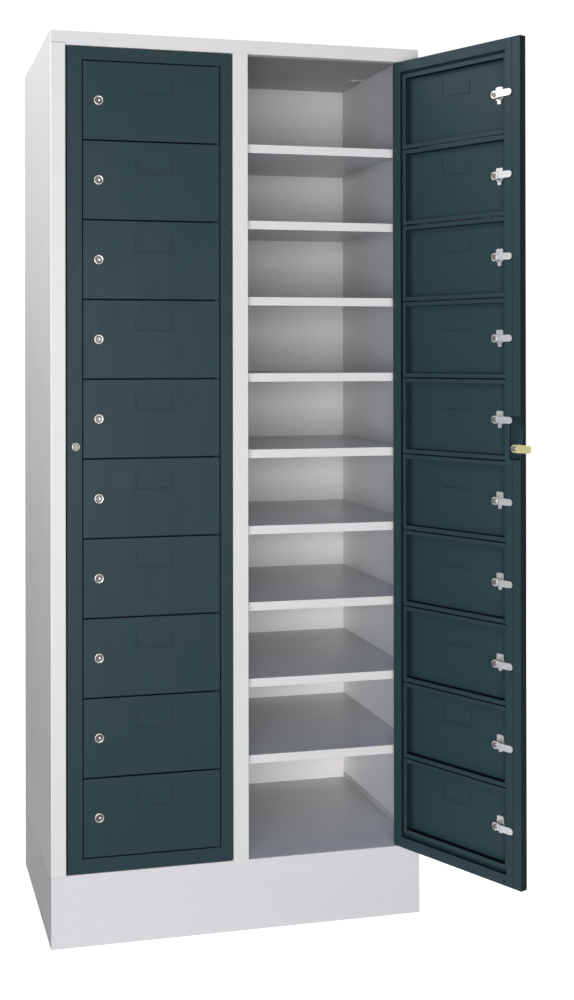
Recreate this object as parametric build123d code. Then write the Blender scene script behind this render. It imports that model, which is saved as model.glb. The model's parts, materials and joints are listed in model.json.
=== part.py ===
from build123d import *
import os
from math import hypot

# A two-column steel locker with twenty compartments for phones and other small valuables. Each column
# has one full-height service door, a folded frame that carries ten small doors with cam locks.
# X runs to the right, Y to the back and Z up, in millimetres. The origin is the centre of the
# plinth's underside. The left service door is closed and the right one stands open.

# Overall size
WIDTH = 790.0
DEPTH = 500.0
HEIGHT = 1850.0
PLINTH_HEIGHT = 145.0

# Carcass sheet and folds
BODY_SHEET = 1.2
PLINTH_SHEET = 1.5
STILE_WIDTH = 31.0
POST_WIDTH = 32.5
RAIL_HEIGHT = 28.5
STILE_ABOVE_OPENING = 5.0
CHANNEL_DEPTH = 22.0
CHANNEL_SEAM = 0.4
BACK_FLANGE = 14.0
POST_TOE = 6.0
FLOOR_FLANGE = 14.0
PLINTH_FLANGE = 22.0
BODY_BEND = 2.4
PLINTH_EDGE = 1.2

# Shelves
SHELF_COUNT = 9
TOP_SHELF_BELOW_ROOF = 212.5
LAST_SHELF_ABOVE_PLINTH = 210.9
SHELF_LIP = 18.0
SHELF_SIDE_FLANGE = 12.0

# Slot and hole in the roof over the right column
ROOF_SLOT_LENGTH = 34.0
ROOF_SLOT_WIDTH = 4.0
ROOF_HOLE = 5.0
ROOF_SLOT_FROM_WALL = 3.0
ROOF_SLOT_FROM_FRONT = 341.0
ROOF_HOLE_BEHIND_SLOT = 18.0

# Service doors
DOOR_GAP = 2.0
DOOR_DEPTH = 18.0
DOOR_SHEET = 1.2
LOCK_STILE = 31.0
HINGE_STILE = 24.5
DOOR_TOP_RAIL = 26.0
DOOR_BOTTOM_RAIL = 29.5
DOOR_FLANGE = 22.0
LOCK_STILE_FLANGE = 20.0
EDGE_RETURN = 8.0
STOP_WIDTH = 18.0
STOP_STEP = 0.5
DOOR_CORNER = 4.5
DOOR_BEND = 1.4
DRAIN_HOLE = 5.0
DRAIN_FROM_EDGE = 43.0
DRAIN_ABOVE_BOTTOM = 8.0
OPEN_ANGLE = 115.0

# Small doors
SMALL_COUNT = 10
SMALL_GAP = 2.0
PAN_DEPTH = 16.0
PAN_SHEET = 1.0
PAN_LIP = 9.0
PAN_BEND = 1.2

# Embossed card holder on each small door
CARD_WIDTH = 77.0
CARD_HEIGHT = 34.0
CARD_BEAD = 3.2
CARD_RISE = 0.7
CARD_FROM_TOP = 30.0
CARD_OFFSET = 4.0

# Pins: a service door turns on two, a small door on two
PIN_FROM_EDGE = 8.0
PIN_DEPTH = 6.0
MAIN_PIN = 6.0
MAIN_PIN_REACH = 12.0
MAIN_PIN_HEAD = 8.5
PIN_HEAD_HEIGHT = 2.0
SMALL_PIN_FROM_EDGE = 6.0
SMALL_PIN_DEPTH = 5.0
SMALL_PIN = 4.0
SMALL_PIN_REACH = 8.0
PIN_CLEARANCE = 0.05
TAB_THICKNESS = 1.4
TAB_FRONT = 0.4
TAB_ROOT_FRONT = 4.0

# Cam locks on the small doors
LOCK_FROM_EDGE = 32.0
BARREL = 16.0
BEZEL = 20.5
BEZEL_HEIGHT = 2.6
PLUG = 11.0
LOCK_LENGTH = 16.8
CLIP_RING = 22.0
CLIP_HEIGHT = 34.0
CLIP_HEAD = 17.5
CLIP_TAIL = 9.0
CLIP_CORNER = 3.0
CLIP_SHEET = 1.2
TONGUE_REACH = 46.0
TONGUE_WIDTH = 13.5
TONGUE_HEEL = 16.0
TONGUE_SHEET = 1.8
TONGUE_TIP = 6.5
TONGUE_CRANK = 2.6
CRANK_START = 10.5
CRANK_RUN = 3.5
WASHER = 12.0

# Cam locks on the service doors
MAIN_LOCK_ABOVE_MIDDLE = 26.75
MAIN_LOCK_FROM_EDGE = 18.0
MAIN_BARREL = 15.0
MAIN_BEZEL = 18.0
MAIN_LOCK_LENGTH = 13.8
MAIN_CAM_REACH = 41.5
MAIN_CAM_WIDTH = 16.0
MAIN_CAM_TIP = 7.2
MAIN_NUT = 19.0
MAIN_NUT_THICKNESS = 3.0
WINDOW_WIDTH = 26.4
WINDOW_HEIGHT = 86.0
WINDOW_ABOVE_LOCK = 64.0
NOTCH_HEIGHT = 58.0
NOTCH_DEPTH = 8.0
KEEPER_MARGIN = 2.0

# Lock details that both sizes share
KEYWAY_WIDTH = 1.6
KEYWAY_HEIGHT = 6.5
KEYWAY_DEPTH = 4.0
WASHER_THICKNESS = 1.2
SCREW_HEAD = 8.5
SCREW_HEAD_HEIGHT = 2.6
SCREW_SLOT = 1.4
LOCK_CLEARANCE = 0.05

# Worked out from the sizes above
SIDE = WIDTH / 2
FRONT = -DEPTH / 2
BACK = DEPTH / 2
INNER_SIDE = SIDE - BODY_SHEET
FLOOR_TOP = PLINTH_HEIGHT + BODY_SHEET
ROOF_UNDERSIDE = HEIGHT - BODY_SHEET
OPENING_TOP = HEIGHT - RAIL_HEIGHT
STILE_TOP = OPENING_TOP + STILE_ABOVE_OPENING
OPENING_WIDTH = (WIDTH - 2 * STILE_WIDTH - POST_WIDTH) / 2
BACK_PANEL_FACE = BACK - 2 * BODY_SHEET
DOOR_WIDTH = OPENING_WIDTH - 2 * DOOR_GAP
DOOR_BOTTOM = PLINTH_HEIGHT + DOOR_GAP
DOOR_TOP = OPENING_TOP - DOOR_GAP
DOOR_MIDDLE = (DOOR_TOP + DOOR_BOTTOM) / 2
MAIN_LOCK_HEIGHT = DOOR_MIDDLE + MAIN_LOCK_ABOVE_MIDDLE
DOOR_EDGE = {"left": -SIDE + STILE_WIDTH + DOOR_GAP, "right": POST_WIDTH / 2 + DOOR_GAP}
SMALL_WIDTH = DOOR_WIDTH - LOCK_STILE - HINGE_STILE - 2 * SMALL_GAP
FACE_TOP = DOOR_TOP - DOOR_TOP_RAIL
FACE_BOTTOM = DOOR_BOTTOM + DOOR_BOTTOM_RAIL
SMALL_PITCH = (FACE_TOP - FACE_BOTTOM - SMALL_GAP) / SMALL_COUNT
SMALL_HEIGHT = SMALL_PITCH - SMALL_GAP
TOP_SHELF = HEIGHT - TOP_SHELF_BELOW_ROOF
LAST_SHELF = PLINTH_HEIGHT + LAST_SHELF_ABOVE_PLINTH
SHELF_PITCH = (TOP_SHELF - LAST_SHELF) / (SHELF_COUNT - 1)
COLUMNS = ("left", "right")


def block(x, y, z):
    """A box between three pairs of limits."""
    size = [high - low for low, high in (x, y, z)]
    middle = [(high + low) / 2 for low, high in (x, y, z)]
    return Pos(*middle) * Box(*size)


def offset_point(before, corner, after, thickness):
    """The mitred inner corner of a sheet whose outer skin turns at corner."""
    sides = []
    for start, end in ((before, corner), (corner, after)):
        run = (end[0] - start[0], end[1] - start[1])
        length = hypot(*run)
        sides.append((-run[1] / length, run[0] / length))
    scale = thickness / (1 + sides[0][0] * sides[1][0] + sides[0][1] * sides[1][1])
    total = (sides[0][0] + sides[1][0], sides[0][1] + sides[1][1])
    return corner[0] + total[0] * scale, corner[1] + total[1] * scale


def folded_outline(skin, thickness):
    """The section of a sheet folded along skin; the metal lies to the left of the path."""
    first = (2 * skin[0][0] - skin[1][0], 2 * skin[0][1] - skin[1][1])
    last = (2 * skin[-1][0] - skin[-2][0], 2 * skin[-1][1] - skin[-2][1])
    path = [first, *skin, last]
    inner = [offset_point(*path[i:i + 3], thickness) for i in range(len(skin))]
    return [*skin, *reversed(inner)]


def rounded(section, corner, radius):
    """The section with its vertex at corner rounded."""
    return fillet(section.vertices().sort_by_distance(Vector(*corner))[0], radius)


def folded_sheet(plane, skin, thickness, length, bend=None):
    """A folded sheet of that section on plane; bend is the outer radius of its folds."""
    outline = folded_outline(skin, thickness)
    section = Sketch() + make_face(Polyline(*outline, close=True))
    if bend:
        inner = outline[len(skin):]
        for skin_corner, inner_corner in zip(skin[1:-1], inner[-2:0:-1]):
            section = rounded(section, skin_corner, bend)
            section = rounded(section, inner_corner, bend - thickness)
    return extrude(plane * section, length, dir=plane.z_dir)


def cylinder_y(diameter, x, z, y):
    """A round bar along Y between two depths."""
    low, high = y
    return Pos(x, (low + high) / 2, z) * Rot(90, 0, 0) * Cylinder(diameter / 2, high - low)


def cylinder_z(diameter, x, y, z):
    """A round bar along Z between two heights."""
    low, high = z
    return Pos(x, y, (low + high) / 2) * Cylinder(diameter / 2, high - low)


# Carcass


def cam_heights():
    """The heights between which a service door's cam swings down to point sideways."""
    low = MAIN_LOCK_HEIGHT - MAIN_CAM_WIDTH / 2 - KEEPER_MARGIN
    return low, low + NOTCH_HEIGHT


def keeper_slot(x):
    """The slot in a carcass channel that a service door's cam enters, between two X limits."""
    cam_front = FRONT + MAIN_LOCK_LENGTH
    y = (cam_front - KEEPER_MARGIN, cam_front + TONGUE_SHEET + KEEPER_MARGIN)
    return block(x, y, cam_heights())


def over_stile():
    """The space over the left stile, beside the side wall's front fold, that the roof's rail fills."""
    right = STILE_WIDTH - SIDE + 1
    middle = FRONT + CHANNEL_DEPTH / 2
    z = (STILE_TOP - CHANNEL_SEAM, HEIGHT)
    front = block((BODY_BEND - SIDE, right), (FRONT - 1, middle), z)
    return front + block((-INNER_SIDE, right), (middle, FRONT + CHANNEL_DEPTH + 1), z)


def side_panel(side):
    """A side wall folded into a closed front stile and the back flange."""
    skin = [
        (BODY_SHEET + CHANNEL_SEAM, CHANNEL_DEPTH),
        (STILE_WIDTH, CHANNEL_DEPTH),
        (STILE_WIDTH, 0),
        (0, 0),
        (0, DEPTH),
        (BACK_FLANGE, DEPTH),
    ]
    skin = [(x - SIDE, y + FRONT) for x, y in reversed(skin)]
    plane = Plane.XY.offset(FLOOR_TOP)
    panel = folded_sheet(plane, skin, BODY_SHEET, ROOF_UNDERSIDE - FLOOR_TOP, BODY_BEND)
    panel -= over_stile()
    if side == "left":
        reach = (STILE_WIDTH - SIDE - 2 * BODY_SHEET, STILE_WIDTH - SIDE + BODY_SHEET)
        return panel - keeper_slot(reach)
    return mirror(panel, Plane.YZ)


def rail_skin(bottom):
    """Y and Z of the skin of the roof's front rail, which ends on the roof's front edge."""
    return [
        (CHANNEL_DEPTH, ROOF_UNDERSIDE - CHANNEL_SEAM),
        (CHANNEL_DEPTH, bottom),
        (0, bottom),
        (0, HEIGHT),
    ]


def roof_fold(skin, x):
    """A sheet folded along a skin of Y and Z, between two X limits."""
    skin = [(y + FRONT, z) for y, z in reversed(skin)]
    return folded_sheet(Plane.YZ.offset(x[0]), skin, BODY_SHEET, x[1] - x[0])


def roof_panel():
    """The roof sheet, its front rail between and over the stiles, and its back flange."""
    half, reach = SIDE - STILE_WIDTH, SIDE - BODY_BEND
    back_skin = [(DEPTH, HEIGHT), (DEPTH, HEIGHT - BACK_FLANGE)]
    roof = roof_fold([*rail_skin(OPENING_TOP), *back_skin], (-half, half))
    for side in (-1, 1):
        roof += roof_fold(rail_skin(STILE_TOP), sorted((side * half, side * reach)))
    sheet = block((-SIDE, SIDE), (FRONT, BACK), (ROOF_UNDERSIDE, HEIGHT))
    roof += fillet(sheet.edges().filter_by(Axis.Z), BODY_BEND)
    top_edges = roof.faces().sort_by(Axis.Z)[-1].outer_wire().edges()
    roof = fillet(top_edges, BODY_SHEET * 0.6)
    return roof - roof_slot()


def roof_slot():
    """The slot and the small hole behind it, over the right column and beside its side wall."""
    x = INNER_SIDE - ROOF_SLOT_FROM_WALL - ROOF_SLOT_LENGTH / 2
    y = FRONT + ROOF_SLOT_FROM_FRONT
    slot = SlotOverall(ROOF_SLOT_LENGTH, ROOF_SLOT_WIDTH)
    hole = Pos(0, ROOF_HOLE_BEHIND_SLOT) * Circle(ROOF_HOLE / 2)
    return extrude(Pos(x, y, ROOF_UNDERSIDE - BODY_SHEET) * (slot + hole), 3 * BODY_SHEET)


def back_panel():
    """The back sheet, held between the folds of the side panels' back flanges."""
    x = (BODY_BEND - SIDE, SIDE - BODY_BEND)
    return block(x, (BACK_PANEL_FACE, BACK - BODY_SHEET), (FLOOR_TOP, ROOF_UNDERSIDE))


def post_toe(extra=0.0):
    """The short tab at the foot of the centre post that laps the plinth."""
    return block(
        (-POST_WIDTH / 2 - extra, POST_WIDTH / 2 + extra),
        (FRONT - extra, FRONT + BODY_SHEET),
        (PLINTH_HEIGHT - POST_TOE, FLOOR_TOP),
    )


def floor_panel():
    """The compartment floor with turned-up flanges at the side walls."""
    floor = block((-SIDE, SIDE), (FRONT, BACK), (PLINTH_HEIGHT, FLOOR_TOP))
    floor = fillet(floor.edges().filter_by(Axis.Z), BODY_BEND)
    run = (FRONT + CHANNEL_DEPTH + BODY_SHEET, BACK_PANEL_FACE)
    for side in (-1, 1):
        x = sorted((side * INNER_SIDE, side * (INNER_SIDE - BODY_SHEET)))
        floor += block(x, run, (FLOOR_TOP, FLOOR_TOP + FLOOR_FLANGE))
    return floor - post_toe()


def centre_post():
    """The closed post between the columns, with the toe on the plinth and one keeper slot."""
    half = POST_WIDTH / 2
    inner = half - BODY_SHEET
    section = Rectangle(POST_WIDTH, CHANNEL_DEPTH)
    section = fillet(section.vertices().sort_by(Axis.Y)[:2], BODY_SHEET * 0.8)
    section -= Rectangle(2 * inner, CHANNEL_DEPTH - 2 * BODY_SHEET)
    post = extrude(Pos(0, FRONT + CHANNEL_DEPTH / 2, FLOOR_TOP) * section, OPENING_TOP - FLOOR_TOP)
    return post + post_toe() - keeper_slot((half - 2 * BODY_SHEET, half + BODY_SHEET))


def partition():
    """The wall between the columns, behind the centre post."""
    half = BODY_SHEET / 2
    return block((-half, half), (FRONT + CHANNEL_DEPTH, BACK_PANEL_FACE), (FLOOR_TOP, ROOF_UNDERSIDE))


def plinth():
    """A hollow base ring, open above and below inside its turned-in flanges."""
    base = block((-SIDE, SIDE), (FRONT, BACK), (0, PLINTH_HEIGHT))
    base = fillet(base.edges().filter_by(Axis.Z), BODY_BEND)
    base = fillet(base.edges().group_by(Axis.Z)[-1], PLINTH_EDGE)
    wall = PLINTH_SHEET
    z = (wall, PLINTH_HEIGHT - wall)
    hollow = block((wall - SIDE, SIDE - wall), (FRONT + wall, BACK - wall), z)
    inset = PLINTH_FLANGE
    z = (-1, PLINTH_HEIGHT + 1)
    through = block((inset - SIDE, SIDE - inset), (FRONT + inset, BACK - inset), z)
    return base - hollow - through - post_toe()


def shelf(column, top):
    """A shelf pan with a deep front lip and shallow flanges along both walls."""
    half = BODY_SHEET / 2
    x = (-INNER_SIDE, -half) if column == "left" else (half, INNER_SIDE)
    y = (FRONT + CHANNEL_DEPTH, BACK_PANEL_FACE)
    pan = block(x, y, (top - SHELF_LIP, top))
    hollow = block(
        (x[0] + BODY_SHEET, x[1] - BODY_SHEET),
        (y[0] + BODY_SHEET, y[1]),
        (top - SHELF_LIP, top - BODY_SHEET),
    )
    under_flanges = block(x, (y[0] + BODY_SHEET, y[1]), (top - SHELF_LIP, top - SHELF_SIDE_FLANGE))
    pan = pan - hollow - under_flanges
    front_fold = pan.edges().group_by(Axis.Y)[0].sort_by(Axis.Z)[-1]
    return fillet(front_fold, BODY_SHEET * 0.8)


def shelves(column):
    return [shelf(column, TOP_SHELF - SHELF_PITCH * i) for i in range(SHELF_COUNT)]


# Service doors, drawn closed


def hinge_edge(column):
    return DOOR_EDGE[column] + DOOR_WIDTH


def main_axis(column):
    """X and Y of the pins that a service door turns on."""
    return hinge_edge(column) - PIN_FROM_EDGE, FRONT + PIN_DEPTH


def main_pins():
    """Headed pins in the roof rail and the floor, two for each service door."""
    pins = []
    for column in COLUMNS:
        x, y = main_axis(column)
        rail_top = OPENING_TOP + BODY_SHEET
        upper = cylinder_z(MAIN_PIN, x, y, (DOOR_TOP - MAIN_PIN_REACH, rail_top))
        upper += cylinder_z(MAIN_PIN_HEAD, x, y, (rail_top, rail_top + PIN_HEAD_HEIGHT))
        plinth_top_inner = PLINTH_HEIGHT - PLINTH_SHEET
        lower = cylinder_z(MAIN_PIN, x, y, (plinth_top_inner, DOOR_BOTTOM + MAIN_PIN_REACH))
        lower += cylinder_z(MAIN_PIN_HEAD, x, y, (plinth_top_inner - PIN_HEAD_HEIGHT, plinth_top_inner))
        pins += [upper, lower]
    return pins


def pin_seats(diameter):
    """The holes for the service doors' pins through rail, floor and plinth."""
    seats = []
    for column in COLUMNS:
        x, y = main_axis(column)
        seats.append(cylinder_z(diameter, x, y, (OPENING_TOP - 1, OPENING_TOP + BODY_SHEET + 0.5)))
        seats.append(cylinder_z(diameter, x, y, (PLINTH_HEIGHT - PLINTH_SHEET - 0.5, FLOOR_TOP + 1)))
    return seats


def small_span(column):
    """X limits of the small doors in a column."""
    low = DOOR_EDGE[column] + LOCK_STILE + SMALL_GAP
    return low, low + SMALL_WIDTH


def door_frame(column):
    """The folded frame of a service door, with its stop strip and the openings for its lock."""
    left, right = DOOR_EDGE[column], hinge_edge(column)
    sheet = DOOR_SHEET
    rear = FRONT + DOOR_DEPTH
    frame = block((left, right), (FRONT, rear), (DOOR_BOTTOM, DOOR_TOP))
    frame = fillet(hinge_corners(frame), DOOR_CORNER)
    frame = fillet(frame.faces().sort_by(Axis.Y)[0].edges(), DOOR_BEND)
    hollow_x = (left + sheet, right - sheet)
    hollow_z = (DOOR_BOTTOM + sheet, DOOR_TOP - sheet)
    hollow = block(hollow_x, (FRONT + sheet, rear - sheet), hollow_z)
    frame -= fillet(hinge_corners(hollow), DOOR_CORNER - sheet)
    face_x = (left + LOCK_STILE, right - HINGE_STILE)
    face_z = (FACE_BOTTOM, FACE_TOP)
    frame += edge_returns(face_x, face_z)
    frame -= block(face_x, (FRONT - 1, FRONT + sheet + EDGE_RETURN), face_z)
    flange_z = (DOOR_BOTTOM + DOOR_FLANGE, DOOR_TOP - DOOR_FLANGE)
    frame -= block((left + LOCK_STILE_FLANGE, right - DOOR_FLANGE), (rear - sheet, rear + 1), flange_z)
    frame += stop_strip(left + LOCK_STILE_FLANGE, rear, flange_z)
    return frame - lock_cuts(column) - door_pin_holes(column) - drain_hole(left, rear)


def drain_hole(left, rear):
    """The small hole in the rear flange of the bottom rail."""
    x, z = left + DRAIN_FROM_EDGE, DOOR_BOTTOM + DRAIN_ABOVE_BOTTOM
    return cylinder_y(DRAIN_HOLE, x, z, (rear - DOOR_SHEET - 1, rear + 1))


def hinge_corners(solid):
    """The two front-to-back edges of a plain block at the hinge side."""
    return solid.edges().filter_by(Axis.Y).sort_by(Axis.X)[-2:]


def edge_returns(x, z):
    """The short folds around the frame's front opening."""
    sheet = DOOR_SHEET
    y = (FRONT + sheet, FRONT + sheet + EDGE_RETURN)
    outer = block((x[0] - sheet, x[1] + sheet), y, (z[0] - sheet, z[1] + sheet))
    return outer - block(x, (FRONT, FRONT + DOOR_DEPTH), z)


def stop_strip(x, rear, z):
    """The stepped strip behind the small doors' lock edges."""
    skin = [(x + STOP_WIDTH, rear - STOP_STEP), (x, rear - STOP_STEP), (x, rear)]
    return folded_sheet(Plane.XY.offset(z[0]), skin, DOOR_SHEET, z[1] - z[0])


def lock_cuts(column):
    """The lock's hole, the window in the rear flange and the notch that the cam swings through."""
    left = DOOR_EDGE[column]
    x = left + MAIN_LOCK_FROM_EDGE
    rear = FRONT + DOOR_DEPTH
    top = MAIN_LOCK_HEIGHT + WINDOW_ABOVE_LOCK
    hole = cylinder_y(MAIN_BARREL, x, MAIN_LOCK_HEIGHT, (FRONT - 1, FRONT + DOOR_SHEET + 1))
    window_x = (left + DOOR_SHEET, left + DOOR_SHEET + WINDOW_WIDTH)
    window_y = (rear - STOP_STEP - 2 * DOOR_SHEET, rear + 1)
    window = block(window_x, window_y, (top - WINDOW_HEIGHT, top))
    notch = block((left - 1, left + DOOR_SHEET), (rear - NOTCH_DEPTH, rear + 1), cam_heights())
    return [hole, window, notch]


def door_pin_holes(column):
    x, y = main_axis(column)
    bore = MAIN_PIN + 2 * PIN_CLEARANCE
    upper = cylinder_z(bore, x, y, (DOOR_TOP - DOOR_SHEET - 1, DOOR_TOP + 1))
    lower = cylinder_z(bore, x, y, (DOOR_BOTTOM - 1, DOOR_BOTTOM + DOOR_SHEET + 1))
    return [upper, lower]


def gap_height(i):
    """Height of the middle of the gap above small door i."""
    return FACE_TOP - SMALL_GAP / 2 - i * SMALL_PITCH


def small_axis(column):
    """X and Y of the pins that a column's small doors turn on."""
    return small_span(column)[1] - SMALL_PIN_FROM_EDGE, FRONT + SMALL_PIN_DEPTH


def pivot_tab(column, i):
    """A tab from the hinge stile, in the gap between two small doors, with its riveted pin."""
    x, y = small_axis(column)
    stile = hinge_edge(column) - HINGE_STILE
    end = x - SMALL_PIN_FROM_EDGE
    nose = small_span(column)[1] - 1
    outline = Polyline(
        (stile, FRONT + TAB_ROOT_FRONT),
        (nose, FRONT + TAB_ROOT_FRONT),
        (nose, FRONT + TAB_FRONT),
        (end, FRONT + TAB_FRONT),
        (end, FRONT + PAN_DEPTH),
        (stile, FRONT + PAN_DEPTH),
        close=True,
    )
    z = gap_height(i)
    tab = extrude(Pos(0, 0, z - TAB_THICKNESS / 2) * make_face(outline), TAB_THICKNESS)
    low = z if i == SMALL_COUNT else z - SMALL_PIN_REACH
    high = z if i == 0 else z + SMALL_PIN_REACH
    return tab + cylinder_z(SMALL_PIN, x, y, (low, high))


def pivot_tabs(column):
    return [pivot_tab(column, i) for i in range(SMALL_COUNT + 1)]


# Small doors, drawn closed


def card_bead(x, top, depth):
    """A U-shaped bead, open above, between two depths."""
    outer = block((x - CARD_WIDTH / 2, x + CARD_WIDTH / 2), depth, (top - CARD_HEIGHT, top))
    reach = CARD_WIDTH / 2 - CARD_BEAD
    z = (top - CARD_HEIGHT + CARD_BEAD, top + 1)
    return outer - block((x - reach, x + reach), (depth[0] - 1, depth[1] + 1), z)


def lock_place(column, i):
    """X and Z of small door i's lock."""
    return small_span(column)[0] + LOCK_FROM_EDGE, gap_height(i) - SMALL_PITCH / 2


def door_pan(column, i):
    """A small door: a shallow pan with rear lips, pin holes and the embossed card holder."""
    x0, x1 = small_span(column)
    top = gap_height(i) - SMALL_GAP / 2
    bottom = top - SMALL_HEIGHT
    rear = FRONT + PAN_DEPTH
    sheet = PAN_SHEET
    pan = block((x0, x1), (FRONT, rear), (bottom, top))
    pan = fillet(pan.faces().sort_by(Axis.Y)[0].edges(), PAN_BEND)
    card_x = (x0 + x1) / 2 + CARD_OFFSET
    card_top = top - CARD_FROM_TOP
    pan += card_bead(card_x, card_top, (FRONT - CARD_RISE, FRONT + sheet))
    hollow_z, mouth_z = (bottom + sheet, top - sheet), (bottom + PAN_LIP, top - PAN_LIP)
    pan -= block((x0 + sheet, x1 - sheet), (FRONT + sheet, rear - sheet), hollow_z)
    pan -= block((x0 + PAN_LIP, x1 - PAN_LIP), (rear - 2 * sheet, rear + 1), mouth_z)
    pan -= card_bead(card_x, card_top, (FRONT + sheet - CARD_RISE, FRONT + sheet))
    lock_x, lock_z = lock_place(column, i)
    pan -= cylinder_y(BARREL, lock_x, lock_z, (FRONT - 1, FRONT + sheet + 1))
    pin_x, pin_y = small_axis(column)
    return pan - cylinder_z(SMALL_PIN + 2 * PIN_CLEARANCE, pin_x, pin_y, (bottom - 1, top + 1))


def lock_case(x, z, barrel, bezel, length):
    """A lock's fixed barrel with its stepped bezel, bored for the plug."""
    bore = PLUG / 2 + LOCK_CLEARANCE
    profile = Polyline(
        (bore, length),
        (barrel / 2, length),
        (barrel / 2, 0),
        (bezel / 2, 0),
        (bezel / 2, -BEZEL_HEIGHT / 2),
        (bezel / 2 - BEZEL_HEIGHT / 2, -BEZEL_HEIGHT),
        (bore, -BEZEL_HEIGHT),
        close=True,
    )
    turned = revolve(make_face(profile), Axis.Y)
    return Pos(x, FRONT, z) * turned


def clip(x, z):
    """The sheet clip that holds a lock's barrel behind the pan: a ring with a wide head and a tail."""
    half = CLIP_HEIGHT / 2
    head = Pos(0, half / 2) * RectangleRounded(CLIP_HEAD, half, CLIP_CORNER)
    tail = Pos(0, -half / 2) * RectangleRounded(CLIP_TAIL, half, CLIP_CORNER)
    outline = Circle(CLIP_RING / 2) + head + tail - Circle(BARREL / 2)
    plane = Plane.XZ.offset(-(FRONT + PAN_SHEET))
    return extrude(plane * Pos(x, z) * outline, -CLIP_SHEET)


def small_door(column, i):
    """The pan, the lock's case and its clip, which move as one."""
    x, z = lock_place(column, i)
    return [door_pan(column, i), lock_case(x, z, BARREL, BEZEL, LOCK_LENGTH), clip(x, z)]


# Locks: the plug turns in its case and carries the cam. The cam points left, to the lock edge


def plug(length):
    """The turning plug, with its keyway."""
    body = cylinder_y(PLUG, 0, 0, (-BEZEL_HEIGHT, length))
    x, z = (-KEYWAY_WIDTH / 2, KEYWAY_WIDTH / 2), (-KEYWAY_HEIGHT / 2, KEYWAY_HEIGHT / 2)
    return body - block(x, (-BEZEL_HEIGHT - 1, KEYWAY_DEPTH - BEZEL_HEIGHT), z)


def cam(length, reach, width, heel, tip, crank):
    """A cam with a round heel and a rounded tip, which lies further back than the heel by crank."""
    outline = Pos(-reach / 2, 0) * Rectangle(reach, width)
    tips = outline.vertices().sort_by(Axis.X)[:2]
    outline = fillet(tips, tip) + Circle(heel / 2)
    blank = extrude(Plane.XZ.offset(-length) * outline, -(TONGUE_SHEET + crank))
    if not crank:
        return blank
    skin = [
        (-reach, length + crank),
        (-CRANK_START - CRANK_RUN, length + crank),
        (-CRANK_START, length),
        (heel / 2, length),
    ]
    return blank & folded_sheet(Plane.XY.offset(-heel / 2), skin, TONGUE_SHEET, heel)


def washer(start):
    return cylinder_y(WASHER, 0, 0, (start, start + WASHER_THICKNESS))


def screw(start):
    """A slotted cheese-head screw."""
    end = start + SCREW_HEAD_HEIGHT
    head = cylinder_y(SCREW_HEAD, 0, 0, (start, end))
    half = SCREW_SLOT / 2
    return head - block((-half, half), (end - SCREW_HEAD_HEIGHT / 2, end + 1), (-SCREW_HEAD, SCREW_HEAD))


def turning_lock(length, reach, width, heel, tip, crank=0.0):
    """Plug, cam, washer and screw along one axis, with the cam pointing left."""
    washer_start = length + TONGUE_SHEET
    turning = [plug(length), cam(length, reach, width, heel, tip, crank)]
    return [*turning, washer(washer_start), screw(washer_start + WASHER_THICKNESS)]


def small_lock(column, i):
    """A small door's lock; stored unlocked, cam up, on the left and locked on the right."""
    x, z = lock_place(column, i)
    turn = 90 if column == "left" else 0
    shape = (TONGUE_WIDTH, TONGUE_HEEL, TONGUE_TIP, TONGUE_CRANK)
    pieces = turning_lock(LOCK_LENGTH, TONGUE_REACH, *shape)
    return [Pos(x, FRONT, z) * Rot(0, turn, 0) * piece for piece in pieces]


def main_lock(column):
    """A service door's lock; stored unlocked, cam up, on the left and locked on the right."""
    x = DOOR_EDGE[column] + MAIN_LOCK_FROM_EDGE
    turn = 90 if column == "left" else 0
    shape = (MAIN_CAM_WIDTH, MAIN_CAM_WIDTH, MAIN_CAM_TIP)
    pieces = turning_lock(MAIN_LOCK_LENGTH, MAIN_CAM_REACH, *shape)
    return [Pos(x, FRONT, MAIN_LOCK_HEIGHT) * Rot(0, turn, 0) * piece for piece in pieces]


def main_lock_case(column):
    """The fixed case of a service door's lock and the nut behind the frame's face."""
    x = DOOR_EDGE[column] + MAIN_LOCK_FROM_EDGE
    case = lock_case(x, MAIN_LOCK_HEIGHT, MAIN_BARREL, MAIN_BEZEL, MAIN_LOCK_LENGTH)
    nut_plane = Plane.XZ.offset(-(FRONT + DOOR_SHEET))
    ring = RegularPolygon(MAIN_NUT / 2, 6, major_radius=False) - Circle(MAIN_BARREL / 2)
    nut = extrude(nut_plane * Pos(x, MAIN_LOCK_HEIGHT) * ring, -MAIN_NUT_THICKNESS)
    return [case, nut]


# Writing the parts


def in_place(shapes, column):
    """Turns a right-hand service door and what it carries to the open position."""
    if column == "left":
        return shapes
    x, y = main_axis(column)
    return [Pos(x, y, 0) * Rot(0, 0, OPEN_ANGLE) * Pos(-x, -y, 0) * shape for shape in shapes]


def write(name, shapes):
    """Writes one node, a single solid or a group of separate solids."""
    solids = [solid for shape in shapes for solid in shape.solids()]
    group = solids[0] if len(solids) == 1 else Compound(children=solids)
    export_step(group, f"parts/{name}.step")


def write_carcass():
    seats = pin_seats(MAIN_PIN)
    write("side_panel_left", [side_panel("left")])
    write("side_panel_right", [side_panel("right")])
    write("roof_panel", [roof_panel() - seats])
    write("back_panel", [back_panel()])
    write("floor_panel", [floor_panel() - seats])
    write("plinth", [plinth() - seats])
    write("centre_post", [centre_post()])
    write("partition", [partition()])
    write("main_hinge_pins", main_pins())
    for column in COLUMNS:
        write(f"shelves_{column}", shelves(column))


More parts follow.
